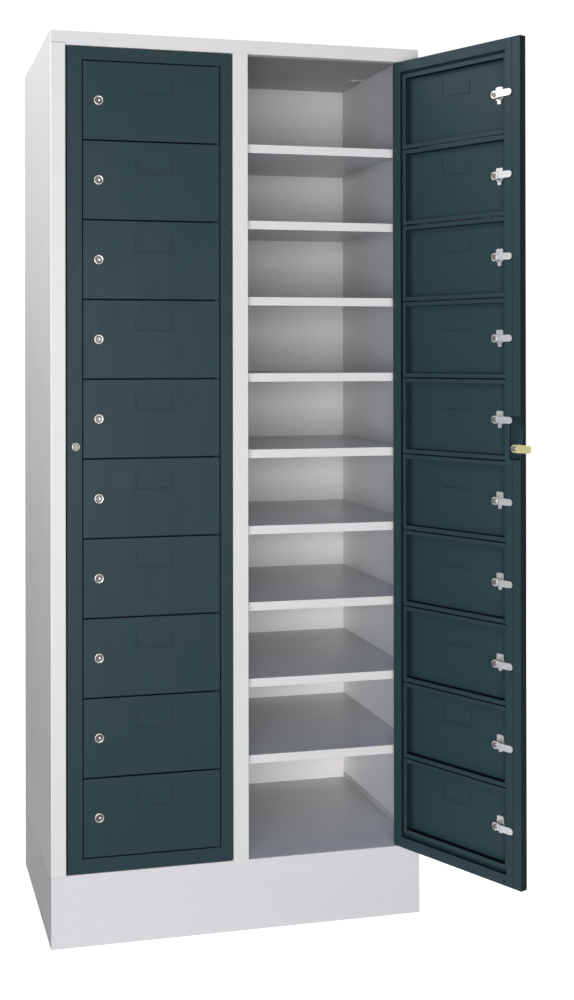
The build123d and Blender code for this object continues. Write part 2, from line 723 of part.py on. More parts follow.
def write_doors(column):
    write(f"door_frame_{column}", in_place([door_frame(column)], column))
    write(f"pivot_tabs_{column}", in_place(pivot_tabs(column), column))
    write(f"main_lock_case_{column}", in_place(main_lock_case(column), column))
    write(f"main_lock_{column}", in_place(main_lock(column), column))
    for i in range(SMALL_COUNT):
        name = f"{column}_{i + 1:02d}"
        write(f"small_door_{name}", in_place(small_door(column, i), column))
        write(f"small_lock_{name}", in_place(small_lock(column, i), column))


os.makedirs("parts", exist_ok=True)
write_carcass()
for column in COLUMNS:
    write_doors(column)
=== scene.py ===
import json
import math

import bmesh
import bpy
from mathutils import Matrix, Vector


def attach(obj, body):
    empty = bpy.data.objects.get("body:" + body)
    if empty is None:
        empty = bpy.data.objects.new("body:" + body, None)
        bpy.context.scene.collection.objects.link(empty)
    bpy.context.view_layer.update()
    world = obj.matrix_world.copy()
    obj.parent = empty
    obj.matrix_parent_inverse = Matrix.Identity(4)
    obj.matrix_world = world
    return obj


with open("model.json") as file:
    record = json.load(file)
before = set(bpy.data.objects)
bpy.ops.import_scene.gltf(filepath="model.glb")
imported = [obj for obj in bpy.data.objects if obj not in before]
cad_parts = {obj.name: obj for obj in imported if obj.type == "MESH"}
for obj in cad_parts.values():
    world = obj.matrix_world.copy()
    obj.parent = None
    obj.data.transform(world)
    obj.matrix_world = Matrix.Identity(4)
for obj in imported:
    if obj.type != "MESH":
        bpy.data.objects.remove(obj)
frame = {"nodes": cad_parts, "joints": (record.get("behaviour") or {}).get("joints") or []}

# A phone locker cabinet: the left service door is shut and the right one stands open. Lengths
# are in metres.
COLUMNS = ("left", "right")
NUMBERS = [f"{i:02d}" for i in range(1, 11)]

# The carcass: its front face, half its width, the plane behind its folded front, the seams of
# its stiles, and the slot with a hole in its roof
FRONT = -0.25
SIDE = 0.395
BEHIND_FOLDS = FRONT + 0.0300
STILE_TOP = 1.8263
SLOT_PLACE = (0.373, 0.100)
SLOT_REACH = (0.019, 0.024)

# The service doors: each one's directions into the locker and to its lock edge, as it stands
OPEN_ANGLE = math.radians(115)
BACKWARD = {
    "left": Vector((0, 1, 0)),
    "right": Vector((-math.sin(OPEN_ANGLE), math.cos(OPEN_ANGLE), 0)),
}
TO_LOCK_EDGE = {
    "left": Vector((-1, 0, 0)),
    "right": Vector((-math.cos(OPEN_ANGLE), -math.sin(OPEN_ANGLE), 0)),
}

# The small doors: depth of a pan, its pin's distance from its hinge edge, and the height above
# its middle from which on nothing but the pan is there
PAN_DEPTH = 0.016
PIN_FROM_EDGE = 0.006
PAN_ALONE = 0.06

# Sizes of the locks along and across their axes, which tell their solids apart
BARREL_FRONT = -0.0026
SMALL_LENGTH = 0.0168
MAIN_LENGTH = 0.0138
PLUG_RADIUS = 0.0055
CAM_THICKNESS = 0.0018
WASHER_RADIUS = 0.0060
WASHER_THICKNESS = 0.0012
SCREW_RADIUS = 0.00425
CLIP_REACH = 0.0200
CLIP_FRONT = 0.0010
CLIP_BACK = 0.0022
PIN_RADIUS = 0.0020

# How near a face must lie to the front of a lip, to a door's lock edge or to an outer face to
# belong to it, and the room for rounding
LIP_DEPTH = 0.0015
EDGE_DEPTH = 0.0010
SKIN = 0.0003
SLACK = 0.00002

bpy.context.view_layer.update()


# Places read from the frame


def joint_place(child):
    """Where the joint of a moving part lies."""
    joint = next(joint for joint in frame["joints"] if joint["child"] == child)
    return Vector(joint["pos_m"])


def points_of(name):
    """The corner points of a node's mesh."""
    return [vertex.co for vertex in frame["nodes"][name].data.vertices]


def pan_size():
    """Width and height of a small door."""
    points = points_of("small_door_left_01")
    return [max(p[k] for p in points) - min(p[k] for p in points) for k in (0, 2)]


def lock_axis(lock):
    """Where a lock's axis meets its door's front face, and the direction into the locker."""
    origin = joint_place(lock)
    inward = BACKWARD["left" if "_left" in lock else "right"]
    front = min((point - origin).dot(inward) for point in points_of(lock))
    return origin + inward * (front - BARREL_FRONT), inward


# Node trees


class Graph:
    """A material's node tree, with short calls for the nodes that are used here."""

    def __init__(self, name):
        self.material = bpy.data.materials.new(name)
        self.material.use_nodes = True
        self.tree = self.material.node_tree
        self.tree.nodes.clear()
        self.shader = self.tree.nodes.new("ShaderNodeBsdfPrincipled")
        output = self.tree.nodes.new("ShaderNodeOutputMaterial")
        self.tree.links.new(self.shader.outputs[0], output.inputs["Surface"])
        self.at = self.tree.nodes.new("ShaderNodeTexCoord").outputs["Object"]

    def add(self, kind, **settings):
        made = self.tree.nodes.new("ShaderNode" + kind)
        for key, value in settings.items():
            setattr(made, key, value)
        return made

    def feed(self, socket, value):
        """Links an output to the socket, or sets it to a number or a colour."""
        if isinstance(value, bpy.types.NodeSocket):
            self.tree.links.new(value, socket)
        else:
            socket.default_value = value

    def axes(self):
        """The surface's own X, Y and Z coordinates."""
        made = self.add("SeparateXYZ")
        self.feed(made.inputs[0], self.at)
        return made.outputs

    def along(self, direction):
        """The surface's own coordinate along a direction."""
        made = self.add("VectorMath", operation="DOT_PRODUCT")
        self.feed(made.inputs[0], self.at)
        self.feed(made.inputs[1], tuple(direction))
        return made.outputs["Value"]

    def stretched(self, scale):
        """The surface's own coordinates, scaled along each axis."""
        mapping = self.add("Mapping")
        self.feed(mapping.inputs["Vector"], self.at)
        self.feed(mapping.inputs["Scale"], scale)
        return mapping.outputs[0]

    def noise(self, scale, detail, rough, vector=None, warp=0.0):
        made = self.add("TexNoise")
        self.feed(made.inputs["Vector"], vector or self.at)
        self.feed(made.inputs["Scale"], scale)
        self.feed(made.inputs["Detail"], detail)
        self.feed(made.inputs["Roughness"], rough)
        self.feed(made.inputs["Distortion"], warp)
        return made.outputs["Fac"]

    def math(self, operation, a, b=0.0, c=0.0):
        made = self.add("Math", operation=operation)
        for socket, value in zip(made.inputs, (a, b, c)):
            self.feed(socket, value)
        return made.outputs[0]

    def distance(self, value, place):
        """How far a coordinate lies from a place, either way."""
        return self.math("ABSOLUTE", self.math("SUBTRACT", value, place))

    def spread(self, value, source, target):
        """Carries a value from one range to another, clamped at both ends."""
        made = self.add("MapRange")
        for socket, number in zip(made.inputs, (value, *source, *target)):
            self.feed(socket, number)
        return made.outputs[0]

    def mark(self, distance, reach, strength=1.0):
        """Full strength up to the first distance of reach, and fading to 0 at the second."""
        return self.spread(distance, reach, (strength, 0.0))

    def mix(self, share, a, b, blend="MIX"):
        made = self.add("Mix", data_type="RGBA", blend_type=blend)
        self.feed(made.inputs["Factor"], share)
        self.feed(made.inputs["A"], a)
        self.feed(made.inputs["B"], b)
        return made.outputs["Result"]

    def ramp(self, value, stops):
        made = self.add("ValToRGB")
        bar = made.color_ramp.elements
        while len(bar) < len(stops):
            bar.new(0.5)
        for element, (place, colour) in zip(bar, stops):
            element.position = place
            element.color = rgba(colour)
        self.feed(made.inputs["Fac"], value)
        return made.outputs["Color"]

    def bump(self, height, strength, distance, normal=None):
        made = self.add("Bump")
        self.feed(made.inputs["Strength"], strength)
        self.feed(made.inputs["Distance"], distance)
        self.feed(made.inputs["Height"], height)
        if normal is not None:
            self.feed(made.inputs["Normal"], normal)
        return made.outputs[0]

    def soft_edges(self, radius):
        """A normal that turns smoothly over sharp edges."""
        made = self.add("Bevel", samples=4)
        self.feed(made.inputs["Radius"], radius)
        return made.outputs[0]

    def edge_mask(self, soft):
        """Near 1 on sharp edges and 0 on flat ground."""
        plain = self.add("NewGeometry").outputs["True Normal"]
        turn = self.add("VectorMath", operation="DOT_PRODUCT")
        self.feed(turn.inputs[0], soft)
        self.feed(turn.inputs[1], plain)
        return self.mark(turn.outputs["Value"], (0.80, 0.985))

    def set(self, **values):
        """Sets or links the shader's inputs; an underscore stands for a space."""
        for name, value in values.items():
            self.feed(self.shader.inputs[name.replace("_", " ")], value)


def shade(colour, share):
    return tuple(channel * share for channel in colour)


def rgba(colour):
    return (*colour, 1)


# Marks on the paint: painted shade along the gaps, in the pans and at the door frames' rear
# step, a painted highlight on the front corners, and real seams and welds. Each pair gives the
# distance up to which a mark is full, and the one at which it ends.

GAP_SHADE_LINE = (0.0012, 0.0018)
LIP_SHADOW = (0.0092, 0.0112)
SIDE_SHADOW = (0.0060, 0.0160)
REAR_STEP_SHADE = (0.0005, 0.0009)
STILE_SEAM = (0.00025, 0.0007)
CORNER_HIGHLIGHT = (0.0010, 0.0022)
WELD_SPOT = (0.0018, 0.0032)

# How strong the weaker marks are
SIDE_SHADOW_STRENGTH = 0.55
WELD_STRENGTH = 0.18

# Where they lie: the depths between which a pan is hollow, how far its side shadows start
# beyond it, how far the painted shade line at the rear step lies from the lock edge and behind
# the door's face, how far back the stile seam reaches, and the rows of welds on the back sheet
POCKET = (0.0008, 0.0145)
BEYOND_PAN = 0.001
REAR_STEP_FROM_EDGE = 0.0200
REAR_STEP_BEHIND = 0.004
STILE_SKIN = 0.0012
WELD_HALF_PITCH = 0.05
WELD_ROW = 0.386
WELD_BEHIND = 0.2


def pan_shadows(column):
    """Painted shade: dark lines beside the gaps, and the shadow in the pocket behind each
    small door's lips.
    """
    first, second = (joint_place(f"small_door_{column}_{number}") for number in NUMBERS[:2])
    half_pitch = (first.z - second.z) / 2
    half_width = pan_size()[0] / 2
    middle = first.dot(TO_LOCK_EDGE[column]) + half_width - PIN_FROM_EDGE
    pan = [p for p in points_of(f"small_door_{column}_01") if abs(p.z - first.z) > PAN_ALONE]
    front = max(point.dot(BACKWARD[column]) for point in pan) - PAN_DEPTH

    def shade_lines(g):
        _, _, z = g.axes()
        from_gap = g.math("PINGPONG", g.math("SUBTRACT", z, first.z - half_pitch), half_pitch)
        across = g.distance(g.along(TO_LOCK_EDGE[column]), middle)
        from_side = g.math("SUBTRACT", half_width + BEYOND_PAN, across)
        depth = g.math("SUBTRACT", g.along(BACKWARD[column]), front)
        past_front = g.math("GREATER_THAN", depth, POCKET[0])
        before_back = g.math("LESS_THAN", depth, POCKET[1])
        # Painted shade: shadows under the lips and beside the sides inside the pocket, and a
        # dark line along each gap
        by_lips = g.mark(from_gap, LIP_SHADOW)
        by_sides = g.mark(from_side, SIDE_SHADOW, SIDE_SHADOW_STRENGTH)
        shadow = g.math("MAXIMUM", by_lips, by_sides)
        pocket = g.math("MULTIPLY", shadow, g.math("MULTIPLY", past_front, before_back))
        return g.math("MAXIMUM", g.mark(from_gap, GAP_SHADE_LINE), pocket)

    return shade_lines


def rear_step_shade(column):
    """Painted shade: the dark line behind a service door where the lock stile's rear flange
    ends.
    """
    points = points_of(f"door_frame_{column}")
    edge = max(point.dot(TO_LOCK_EDGE[column]) for point in points)
    front = min(point.dot(BACKWARD[column]) for point in points)

    def shade_lines(g):
        line = g.distance(g.along(TO_LOCK_EDGE[column]), edge - REAR_STEP_FROM_EDGE)
        behind = g.math("GREATER_THAN", g.along(BACKWARD[column]), front + REAR_STEP_BEHIND)
        return g.math("MULTIPLY", g.mark(line, REAR_STEP_SHADE), behind)

    return shade_lines


def stile_seam(g):
    """The butt joint across each stile, a little above the openings."""
    _, y, z = g.axes()
    in_front = g.math("LESS_THAN", y, FRONT + STILE_SKIN)
    return g.math("MULTIPLY", g.mark(g.distance(z, STILE_TOP), STILE_SEAM), in_front)


def weld_spots(g):
    """Rows of faint spot-weld dimples along the edges of the back sheet."""
    x, y, z = g.axes()
    beside = g.math("PINGPONG", z, WELD_HALF_PITCH)
    across = g.math("SUBTRACT", g.math("ABSOLUTE", x), WELD_ROW)
    squares = [g.math("POWER", part, 2.0) for part in (beside, across)]
    spots = g.mark(g.math("SQRT", g.math("ADD", *squares)), WELD_SPOT)
    behind = g.math("GREATER_THAN", y, WELD_BEHIND)
    return g.math("MULTIPLY", g.math("MULTIPLY", spots, behind), WELD_STRENGTH)


def stile_and_welds(g):
    return g.math("MAXIMUM", stile_seam(g), weld_spots(g))


def corner_highlight(g):
    """1 on the folded front corner of each side wall, where a highlight is painted."""
    x, y, _ = g.axes()
    from_side = g.math("SUBTRACT", SIDE, g.math("ABSOLUTE", x))
    from_front = g.math("SUBTRACT", y, FRONT)
    return g.mark(g.math("ADD", from_side, from_front), CORNER_HIGHLIGHT)


# Paints

GREY = (0.748, 0.734, 0.732)
# Copies of the grey as lit, which is painted light and shade: bluish for the sides, darker for
# the inside, the back and the walls
SIDE_SHADE_GREY = (0.735, 0.733, 0.750)
PLINTH_GREY = (0.720, 0.706, 0.728)
INNER_SHADE_GREY = (0.660, 0.655, 0.660)
BACK_SHADE_GREY = (0.605, 0.588, 0.580)
WALL_SHADE_GREY = (0.590, 0.590, 0.605)
# A painted highlight for the faces of the roof's slot and hole
SLOT_HIGHLIGHT_GREY = (0.90, 0.90, 0.90)
# A painted highlight with wear, for the edges of the grey paints
EDGE_HIGHLIGHT_AND_WEAR_GREY = (0.93, 0.92, 0.89)
# The doors' teal, darker on the shut left door and lighter on the open right one: painted light
LIT_TEALS = {"left": (0.0170, 0.0395, 0.0460), "right": (0.0245, 0.0515, 0.0600)}
# Painted shade: a near-black teal for the doors' lock edges and darkened edges
TEAL_SHADE = (0.0062, 0.0125, 0.0160)
DUST = (0.36, 0.35, 0.33)
# A bluish painted light towards the front of the compartments
FRONT_LIGHT_TONE = (0.86, 0.91, 0.98)
# A painted highlight for the front corners of the side walls
HIGHLIGHT_TONE = (0.99, 0.965, 0.92)

# Ranges of roughness
SATIN_FINISH = (0.42, 0.56)
INNER_FINISH = (0.46, 0.62)
MATT_FINISH = (0.50, 0.64)

# Heights between which the painted grade of light and shade changes the tone, and how far
# back the painted light at the front reaches
SHADE_GRADE_HEIGHTS = (0.35, 1.35)
FRONT_LIGHT_END = 0.15

# How scuffs stretch along each axis
SCUFF_GRAIN = (1.0, 1.0, 0.25)

# Widths of the marked edges, and the least share on them of the edge colour: a painted
# highlight on the grey paints and painted shade on the teal ones, with wear
PAINT_EDGE, WIDE_EDGE = 0.0007, 0.0011
EDGE_SHARE, STRONG_EDGE_SHARE = 0.25, 0.50

PAINT_IOR = 1.47


def powder_coat(
    name,
    colour,
    finish=SATIN_FINISH,
    shine=0.3,
    dust=0.0,
    edge_shading_and_wear=None,
    edge=PAINT_EDGE,
    edge_share=EDGE_SHARE,
    seams_and_shade_lines=None,
    seam_and_shade_tone=0.45,
    corner=None,
    shade_grade=None,
    front_light=0.0,
):
    """Baked powder paint: orange peel, faint sheet waviness, patchy gloss and marked edges.

    finish is the range of roughness, and shine the strength of the reflections. Edges take the
    edge colour over the width edge, with at least the given share of it: a painted highlight
    where that colour is lighter and painted shade where it is darker, with chipped wear. The
    line function draws real seams and welds and painted shade lines, in its tone times the
    colour, and the corner function a painted highlight that is also glossier. The tones low
    down and high up are a painted grade of light and shade, and the front share a bluish
    painted light towards the opening.
    """
    g = Graph(name)

    # A clouded tone with fine dark specks, and dust settled in patches
    broad = g.noise(2.2, detail=3.0, rough=0.55)
    fine = g.noise(60.0, detail=4.0, rough=0.65)
    patch = g.math("ADD", g.math("MULTIPLY", broad, 0.65), g.math("MULTIPLY", fine, 0.35))
    low, high = shade(colour, 0.965), shade(colour, 1.03)
    base = g.ramp(patch, [(0.30, low), (0.52, colour), (0.72, high)])
    speck = g.spread(g.noise(900.0, detail=1.0, rough=0.5), (0.66, 0.72), (0.0, 0.10))
    base = g.mix(speck, base, rgba(shade(colour, 0.72)))
    if dust:
        settled = g.spread(g.noise(9.0, detail=5.0, rough=0.7), (0.42, 0.75), (0.0, 1.0))
        base = g.mix(g.math("MULTIPLY", settled, dust), base, rgba(DUST))

    # Edges: painted highlight where the edge colour is lighter, painted shade where darker, and
    # chips
    soft = g.soft_edges(edge)
    chips = g.spread(g.noise(140.0, detail=4.0, rough=0.7), (0.50, 0.66), (0.0, 1.0))
    edge_shading_and_wear_share = g.math("MULTIPLY", g.edge_mask(soft), g.math("MULTIPLY_ADD", chips, 0.45, edge_share))
    base = g.mix(edge_shading_and_wear_share, base, rgba(edge_shading_and_wear or shade(colour, 1.2)))

    # Painted light: the tone graded with height, and a bluish light towards the front
    if shade_grade is not None:
        tone = g.spread(g.axes()["Z"], SHADE_GRADE_HEIGHTS, shade_grade)
        base = g.mix(1.0, base, tone, "MULTIPLY")
    if front_light:
        reach = g.mark(g.axes()["Y"], (FRONT, FRONT_LIGHT_END), front_light)
        base = g.mix(reach, base, rgba(FRONT_LIGHT_TONE))

    # Waviness of the sheet, orange peel of the paint, and lines: real seams and painted shade
    waves = g.noise(3.1, detail=1.0, rough=0.4)
    peel = g.noise(420.0, detail=2.0, rough=0.45)
    normal = g.bump(waves, strength=0.25, distance=0.0016, normal=soft)
    normal = g.bump(peel, strength=0.16, distance=0.00022, normal=normal)
    if seams_and_shade_lines is not None:
        line = seams_and_shade_lines(g)
        base = g.mix(line, base, rgba(shade(colour, seam_and_shade_tone)))
        normal = g.bump(line, strength=0.7, distance=-0.0006, normal=normal)

    # Patchy gloss, and the corner: a painted highlight that is also glossier
    scuffs = g.noise(30.0, detail=6.0, rough=0.75, vector=g.stretched(SCUFF_GRAIN), warp=0.6)
    gloss = g.spread(scuffs, (0.35, 0.70), finish)
    if corner is not None:
        highlight = corner(g)
        base = g.mix(g.math("MULTIPLY", highlight, 0.9), base, rgba(HIGHLIGHT_TONE))
        gloss = g.math("SUBTRACT", gloss, g.math("MULTIPLY", highlight, 0.18))
    g.set(Base_Color=base, Roughness=gloss, Normal=normal)
    g.set(Specular_IOR_Level=shine, IOR=PAINT_IOR)
    return g.material


# The grey paints' edges are lighter: a painted highlight with wear
carcass = powder_coat("carcass_paint", GREY, edge_shading_and_wear=EDGE_HIGHLIGHT_AND_WEAR_GREY)
# The stiles, with a painted highlight on their front corners
walls = powder_coat(
    "stile_paint", GREY, edge_shading_and_wear=EDGE_HIGHLIGHT_AND_WEAR_GREY, seams_and_shade_lines=stile_and_welds, corner=corner_highlight
)
# Painted shade: the sides a bluish copy of the grey, darker towards the bottom
side_paint = powder_coat(
    "side_paint",
    SIDE_SHADE_GREY,
    MATT_FINISH,
    shine=0.10,
    edge_shading_and_wear=EDGE_HIGHLIGHT_AND_WEAR_GREY,
    seams_and_shade_lines=weld_spots,
    seam_and_shade_tone=0.8,
    shade_grade=(0.76, 1.04),
)
# Painted shade: the plinth's sides a darker copy of the side grey
plinth_side_shade_paint = powder_coat(
    "plinth_side_shade_paint", shade(SIDE_SHADE_GREY, 0.70), MATT_FINISH, shine=0.10
)
# Painted light and shade: the compartments' side walls a shaded copy of the grey, lighter low
# down and bluish towards the front
wall_paint = powder_coat(
    "wall_paint", WALL_SHADE_GREY, (0.36, 0.50), seams_and_shade_lines=weld_spots, shade_grade=(1.50, 0.96), front_light=0.85
)
base_paint = powder_coat("plinth_paint", PLINTH_GREY, (0.44, 0.60), dust=0.05)
# Painted shade: the partition and the ceilings are shaded copies of the grey
inside = powder_coat("inner_paint", INNER_SHADE_GREY, INNER_FINISH, dust=0.04)
ceiling_shade_paint = powder_coat("ceiling_shade_paint", shade(INNER_SHADE_GREY, 0.72), INNER_FINISH, dust=0.04)
# Painted light and shade: the back a shaded copy of the grey, lighter low down
back_paint = powder_coat("back_paint", BACK_SHADE_GREY, INNER_FINISH, dust=0.04, shade_grade=(1.48, 0.96))
# Painted light and shade: the shelves a shaded copy of the grey, bluish towards the front
shelf_paint = powder_coat(
    "shelf_paint",
    shade(INNER_SHADE_GREY, 0.76),
    (0.285, 0.300),
    shine=0.45,
    dust=0.03,
    edge_shading_and_wear=GREY,
    front_light=0.90,
)
# Painted highlight: the faces of the roof's slot and hole
slot_highlight = powder_coat("slot_highlight_paint", SLOT_HIGHLIGHT_GREY, (0.30, 0.44), shine=0.5)
lip_paint = powder_coat("lip_paint", GREY, edge_shading_and_wear=EDGE_HIGHLIGHT_AND_WEAR_GREY)
# Painted shade: the lock edges of the door frames near-black
edge_shade_paint = powder_coat(
    "door_edge_shade_paint", TEAL_SHADE, MATT_FINISH, shine=0.08, edge_shading_and_wear=shade(TEAL_SHADE, 1.5)
)
# Door paints in each door's teal as lit, which is painted light; their edges darker, wide and
# strong on the pans' card holders, which is painted shade
frame_paints, pan_paints, tab_shade_paints = {}, {}, {}
for column, teal in LIT_TEALS.items():
    common = {"shine": 0.16, "edge_shading_and_wear": TEAL_SHADE, "seam_and_shade_tone": 0.12}
    frame_paints[column] = powder_coat(
        f"door_frame_paint_{column}", teal, seams_and_shade_lines=rear_step_shade(column), **common
    )
    pan_paints[column] = powder_coat(
        f"small_door_paint_{column}",
        teal,
        seams_and_shade_lines=pan_shadows(column),
        edge=WIDE_EDGE,
        edge_share=STRONG_EDGE_SHARE,
        **common,
    )
    # Painted shade: the tabs in the gaps a darker copy of the teal
    tab_shade_paints[column] = powder_coat(f"tab_shade_paint_{column}", shade(teal, 0.5), **common)


# Metals and rubber

METAL_EDGE = 0.00028
GRAIN_DEPTH = 0.00004
DENT_DEPTH = 0.00008
EVEN_GRAIN = (1.0, 1.0, 1.0)
BRUSHED_GRAIN = (0.3, 0.3, 2.5)
SCRATCHED_GRAIN = (0.2, 0.2, 3.0)


def plated(name, colour, tint, finish, grain=EVEN_GRAIN):
    """Plated metal: a clouded tone, hairline grain, faint dents and uneven polish."""
    g = Graph(name)
    cloud = g.noise(260.0, detail=4.0, rough=0.6, warp=0.8)
    base = g.ramp(cloud, [(0.32, tint), (0.55, colour), (0.78, shade(colour, 1.05))])
    soft = g.soft_edges(METAL_EDGE)
    # Edges a little lighter: a painted highlight with wear
    edge_shading_and_wear = g.math("MULTIPLY", g.edge_mask(soft), 0.5)
    base = g.mix(edge_shading_and_wear, base, rgba(shade(colour, 1.12)))
    hair = g.noise(2600.0, detail=3.0, rough=0.6, vector=g.stretched(grain))
    dents = g.noise(520.0, detail=2.0, rough=0.5)
    normal = g.bump(hair, strength=0.18, distance=GRAIN_DEPTH, normal=soft)
    normal = g.bump(dents, strength=0.14, distance=DENT_DEPTH, normal=normal)
    gloss = g.spread(g.noise(700.0, detail=5.0, rough=0.7), (0.32, 0.70), finish)
    g.set(Base_Color=base, Roughness=gloss, Normal=normal, Metallic=1.0)
    return g.material


def yellow_passivate(name):
    """Yellow chromate on zinc: gold that turns green and pink in patches."""
    g = Graph(name)
    cloud = g.noise(150.0, detail=3.0, rough=0.6, warp=1.6)
    green, gold = (0.52, 0.62, 0.30), (0.66, 0.60, 0.25)
    straw, rose = (0.72, 0.68, 0.38), (0.74, 0.52, 0.42)
    base = g.ramp(cloud, [(0.28, green), (0.42, gold), (0.58, straw), (0.74, rose)])
    soft = g.soft_edges(METAL_EDGE)
    scratches = g.noise(1400.0, detail=3.0, rough=0.6, vector=g.stretched(SCRATCHED_GRAIN))
    normal = g.bump(scratches, strength=0.25, distance=GRAIN_DEPTH, normal=soft)
    gloss = g.spread(g.noise(600.0, detail=4.0, rough=0.7), (0.3, 0.7), (0.22, 0.42))
    g.set(Base_Color=base, Roughness=gloss, Normal=normal, Metallic=1.0)
    return g.material


def dark_recess(name):
    """The blackened shadow ring round a lock's plug."""
    g = Graph(name)
    grit = g.noise(1800.0, detail=3.0, rough=0.6)
    base = g.ramp(grit, [(0.3, (0.010, 0.010, 0.011)), (0.7, (0.030, 0.030, 0.032))])
    gloss = g.spread(grit, (0.3, 0.7), (0.45, 0.7))
    normal = g.bump(grit, strength=0.3, distance=0.00005)
    g.set(Base_Color=base, Roughness=gloss, Normal=normal)
    return g.material


def seal_rubber(name):
    """Matt black rubber with a dusty grain; its near-black is painted shade for the gaps."""
    g = Graph(name)
    grain = g.noise(1500.0, detail=3.0, rough=0.6)
    dust = g.noise(70.0, detail=4.0, rough=0.7)
    base = g.ramp(dust, [(0.35, (0.006, 0.007, 0.008)), (0.75, (0.014, 0.016, 0.018))])
    gloss = g.spread(grain, (0.3, 0.7), (0.70, 0.90))
    normal = g.bump(grain, strength=0.35, distance=0.00006)
    g.set(Base_Color=base, Roughness=gloss, Normal=normal, Specular_IOR_Level=0.15)
    return g.material


# Lit and shaded copies of nickel, painted light: bright for cases and crests, shaded for bezel
# walls, and a bright glint
nickel = plated("nickel_lit", (0.34, 0.335, 0.325), (0.23, 0.225, 0.22), (0.20, 0.34))
glint = plated("nickel_glint", (0.80, 0.80, 0.80), (0.66, 0.66, 0.66), (0.14, 0.24))
shaded_nickel = plated("nickel_shaded", (0.26, 0.255, 0.25), (0.17, 0.165, 0.16), (0.22, 0.40))
plug_metal = plated("nickel_plug", (0.105, 0.098, 0.094), (0.055, 0.052, 0.05), (0.20, 0.36))
satin = plated("nickel_satin", (0.44, 0.42, 0.39), (0.30, 0.285, 0.265), (0.26, 0.44))
zinc = plated("zinc_clear", (0.63, 0.645, 0.66), (0.48, 0.50, 0.53), (0.36, 0.52), BRUSHED_GRAIN)
steel = plated("screw_steel", (0.24, 0.24, 0.25), (0.13, 0.13, 0.135), (0.32, 0.52))
dark_steel = plated("oiled_steel", (0.075, 0.075, 0.080), (0.035, 0.035, 0.038), (0.40, 0.60))
yellow = yellow_passivate("zinc_yellow")
recess = dark_recess("plug_shadow")
# Painted shade: the strips near-black for the dark gaps
rubber = seal_rubber("gap_shade_rubber")


# Materials on the carried-over nodes. A chooser takes the corners of a face and gives the
# number of its material.


def dress(name, materials, choose=None):
    """Gives a node its materials, and each face the one that its chooser picks."""
    mesh = frame["nodes"][name].data
    mesh.materials.clear()
    for material in materials:
        mesh.materials.append(material)
    if choose is None:
        return
    points = [vertex.co.copy() for vertex in mesh.vertices]
    for face in mesh.polygons:
        face.material_index = choose([points[i] for i in face.vertices])


def depths_and_radii(corners, origin, inward):
    """How far in from the door's front the corners lie, and how far from a lock's axis."""
    offsets = [corner - origin for corner in corners]
    depths = [offset.dot(inward) for offset in offsets]
    radii = [(offset - inward * depth).length for offset, depth in zip(offsets, depths)]
    return depths, radii


def lock_chooser(origin, inward, length):
    """Picks plug, cam, washer or screw for a face of a turning lock."""
    cam_back = length + CAM_THICKNESS
    washer_back = cam_back + WASHER_THICKNESS

    def choose(corners):
        depths, radii = depths_and_radii(corners, origin, inward)
        if max(radii) <= PLUG_RADIUS + SLACK and max(depths) <= length + SLACK:
            return 0
        if max(radii) <= SCREW_RADIUS + SLACK and min(depths) >= washer_back - SLACK:
            return 3
        if max(radii) <= WASHER_RADIUS + SLACK and min(depths) >= cam_back - SLACK:
            return 2
        return 1

    return choose


def door_chooser(origin, inward):
    """Picks pan, lock case or clip for a face of a small door."""

    def choose(corners):
        depths, radii = depths_and_radii(corners, origin, inward)
        in_sheet = min(depths) >= -SLACK and max(depths) <= CLIP_FRONT + SLACK
        if in_sheet or max(radii) > CLIP_REACH:
            return 0
        in_clip = min(depths) >= CLIP_FRONT - SLACK and max(depths) <= CLIP_BACK + SLACK
        return 2 if in_clip else 1

    return choose


def pin_chooser(column):
    """Picks tab or pin for a face of the tabs between the small doors."""
    axis = joint_place(f"small_door_{column}_01").xy

    def choose(corners):
        return int(max((corner.xy - axis).length for corner in corners) <= PIN_RADIUS + SLACK)

    return choose


def lip_chooser(name):
    """Picks a shelf's own paint, or that of its front lip."""
    front = min(point.y for point in points_of(name))

    def choose(corners):
        return int(max(corner.y for corner in corners) < front + LIP_DEPTH)

    return choose


def edge_chooser(column):
    """Picks a door frame's paint, or the near-black painted shade of its lock edge."""
    direction = TO_LOCK_EDGE[column]
    edge = max(point.dot(direction) for point in points_of(f"door_frame_{column}"))

    def choose(corners):
        return int(min(corner.dot(direction) for corner in corners) > edge - EDGE_DEPTH)

    return choose


def ceiling_chooser():
    """Picks the roof's outer paint, a shaded copy on its underside, or a painted highlight on
    its slot and hole.
    """
    top = max(point.z for point in points_of("roof_panel"))

    def by_slot(corner):
        offsets = (abs(corner.x - SLOT_PLACE[0]), abs(corner.y - SLOT_PLACE[1]))
        return offsets[0] < SLOT_REACH[0] and offsets[1] < SLOT_REACH[1]

    def choose(corners):
        heights = [corner.z for corner in corners]
        if max(heights) - min(heights) > SKIN and all(by_slot(corner) for corner in corners):
            return 2
        inner = max(corner.y for corner in corners) > BEHIND_FOLDS
        return int(inner and max(heights) < top - SKIN)

    return choose


def rear_chooser():
    """Picks the back sheet's inner paint, a shaded copy of the grey, or that of the faces seen
    from behind.
    """
    rear = max(point.y for point in points_of("back_panel"))

    def choose(corners):
        return int(min(corner.y for corner in corners) > rear - SKIN)

    return choose


def side_chooser(inner=0):
    """Picks 1 for the faces on the cabinet's sides, and inner for those behind the front."""

    def choose(corners):
        if min(abs(corner.x) for corner in corners) > SIDE - SKIN:
            return 1
        return inner if max(corner.y for corner in corners) > BEHIND_FOLDS else 0

    return choose


